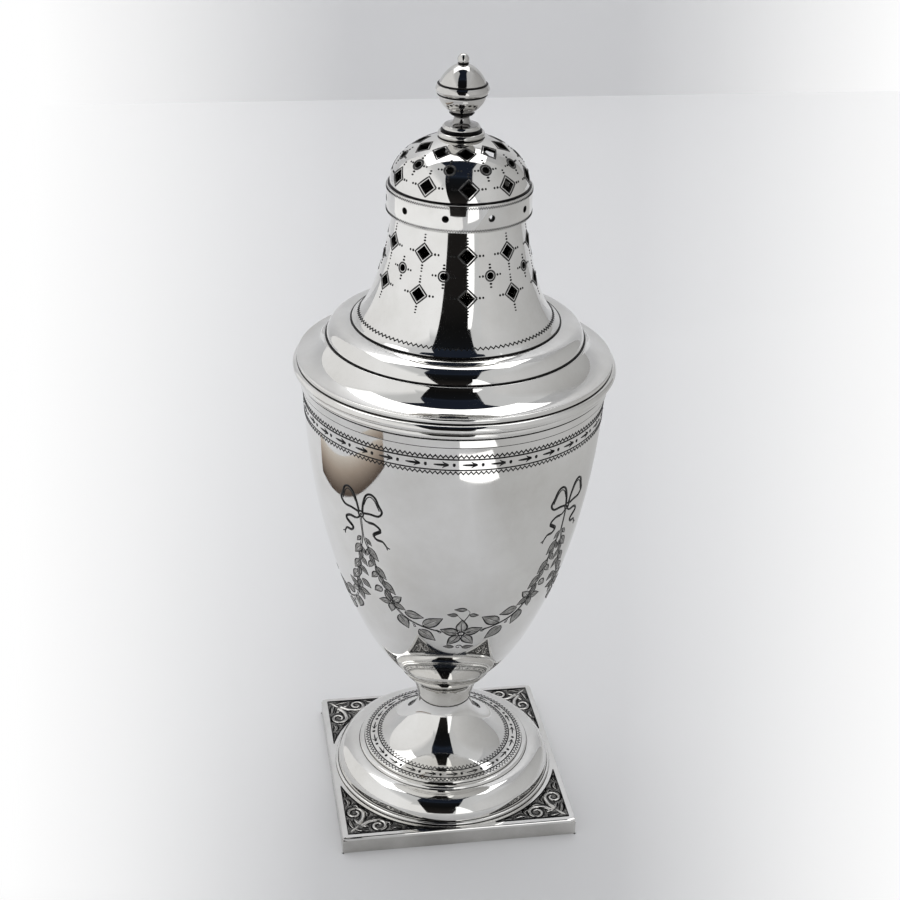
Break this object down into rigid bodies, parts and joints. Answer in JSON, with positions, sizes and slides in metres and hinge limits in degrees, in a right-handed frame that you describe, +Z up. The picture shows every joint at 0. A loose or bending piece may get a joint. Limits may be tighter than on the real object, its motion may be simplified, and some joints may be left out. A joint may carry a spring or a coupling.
{
  "type": "sugar caster",
  "caption": "Vase-shaped silver sugar caster on a spreading foot and square plinth, with a pierced domed cover and urn finial that lifts off for filling.",
  "frame": {"origin": "centre of the plinth's underside, on the table", "axes": "+Z up along the caster's axis, -Y towards the front of the engraved body, +X to the right seen from the front"},
  "size_m": [0.0766, 0.0766, 0.1942],
  "materials": {
    "polished_silver": "mirror-polished silver with dark engraved ornament",
    "inner_silver": "unpolished silver of the hidden pieces"
  },
  "bodies": {
    "vase": {"plinth_strip": "polished_silver", "plinth_plate": "polished_silver", "foot_wire": "polished_silver", "foot_shell": "polished_silver", "stem": "polished_silver", "bowl": "polished_silver", "rim_reeds": "polished_silver", "rim_bead": "polished_silver"},
    "cover": {"cover_bezel": "inner_silver", "cover_brim": "polished_silver", "cover_step": "polished_silver", "cover_bell": "polished_silver", "cover_band": "polished_silver", "cover_dome": "polished_silver", "finial_foot": "polished_silver", "finial_stem": "polished_silver", "finial_cup": "polished_silver", "finial_girdle": "polished_silver", "finial_cap": "polished_silver", "finial_bead": "polished_silver", "finial_stud": "inner_silver", "finial_nut": "inner_silver"}
  },
  "joints": [
    {"name": "cover_lift", "type": "slide", "parent": "vase", "child": "cover", "axis": [0, 0, 1], "range_m": [0, 0.04]}
  ]
}
